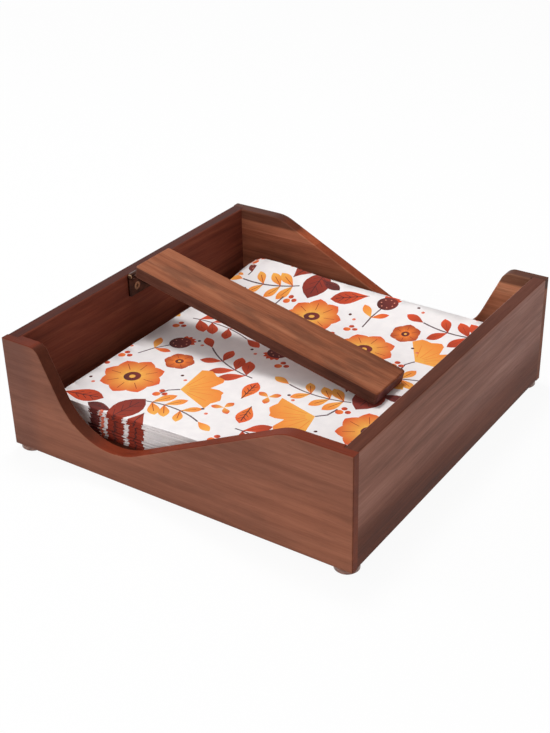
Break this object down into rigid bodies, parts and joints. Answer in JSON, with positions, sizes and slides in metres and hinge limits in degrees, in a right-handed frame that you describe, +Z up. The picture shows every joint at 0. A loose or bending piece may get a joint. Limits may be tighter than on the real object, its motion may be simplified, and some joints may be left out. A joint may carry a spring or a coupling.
{
  "type": "napkin holder",
  "caption": "Flat square wooden napkin holder with scooped sides and a hinged press bar that lies on the pile of folded napkins.",
  "frame": {"origin": "on the table, under the middle of the tray's footprint (lowest points are the feet)", "axes": "+Z up; +X from the hinged wall to the free wall; -Y is the front, whose scoop is steep towards the hinged wall"},
  "size_m": [0.19, 0.192, 0.0679],
  "materials": {
    "walnut_stain": "satin lacquer over walnut stain",
    "walnut_bar": "satin lacquer over walnut stain, lighter",
    "floor_wood": "satin stain",
    "clear_bumper": "translucent grey",
    "antique_brass": "antique, dull",
    "napkin_paper": "soft tissue paper, printed"
  },
  "bodies": {
    "root": {"front_panel": "walnut_stain", "back_panel": "walnut_stain", "hinge_side_panel": "walnut_stain", "free_side_panel": "walnut_stain", "floor_board": "floor_wood", "foot_front_hinge_side": "clear_bumper", "foot_front_free_side": "clear_bumper", "foot_back_hinge_side": "clear_bumper", "foot_back_free_side": "clear_bumper", "hinge_wall_leaf": "antique_brass", "hinge_pin": "antique_brass", "wall_leaf_screws": "antique_brass", "napkin_01": "napkin_paper", "napkin_02": "napkin_paper", "napkin_03": "napkin_paper", "napkin_04": "napkin_paper", "napkin_05": "napkin_paper", "napkin_06": "napkin_paper", "napkin_07": "napkin_paper", "napkin_08": "napkin_paper", "napkin_09": "napkin_paper", "napkin_10": "napkin_paper", "napkin_11": "napkin_paper", "napkin_12": "napkin_paper", "napkin_13": "napkin_paper", "napkin_14": "napkin_paper", "napkin_15": "napkin_paper", "napkin_16": "napkin_paper", "napkin_17": "napkin_paper", "napkin_18": "napkin_paper", "napkin_19": "napkin_paper", "napkin_20": "napkin_paper"},
    "press_bar": {"press_bar": "walnut_bar", "hinge_bar_leaf": "antique_brass", "bar_leaf_screws": "antique_brass"}
  },
  "joints": [
    {"name": "bar_hinge", "type": "hinge", "parent": "root", "child": "press_bar", "pos_m": [-0.086, 0, 0.0603], "axis": [0, -1, 0], "range_deg": [0, 112]}
  ]
}
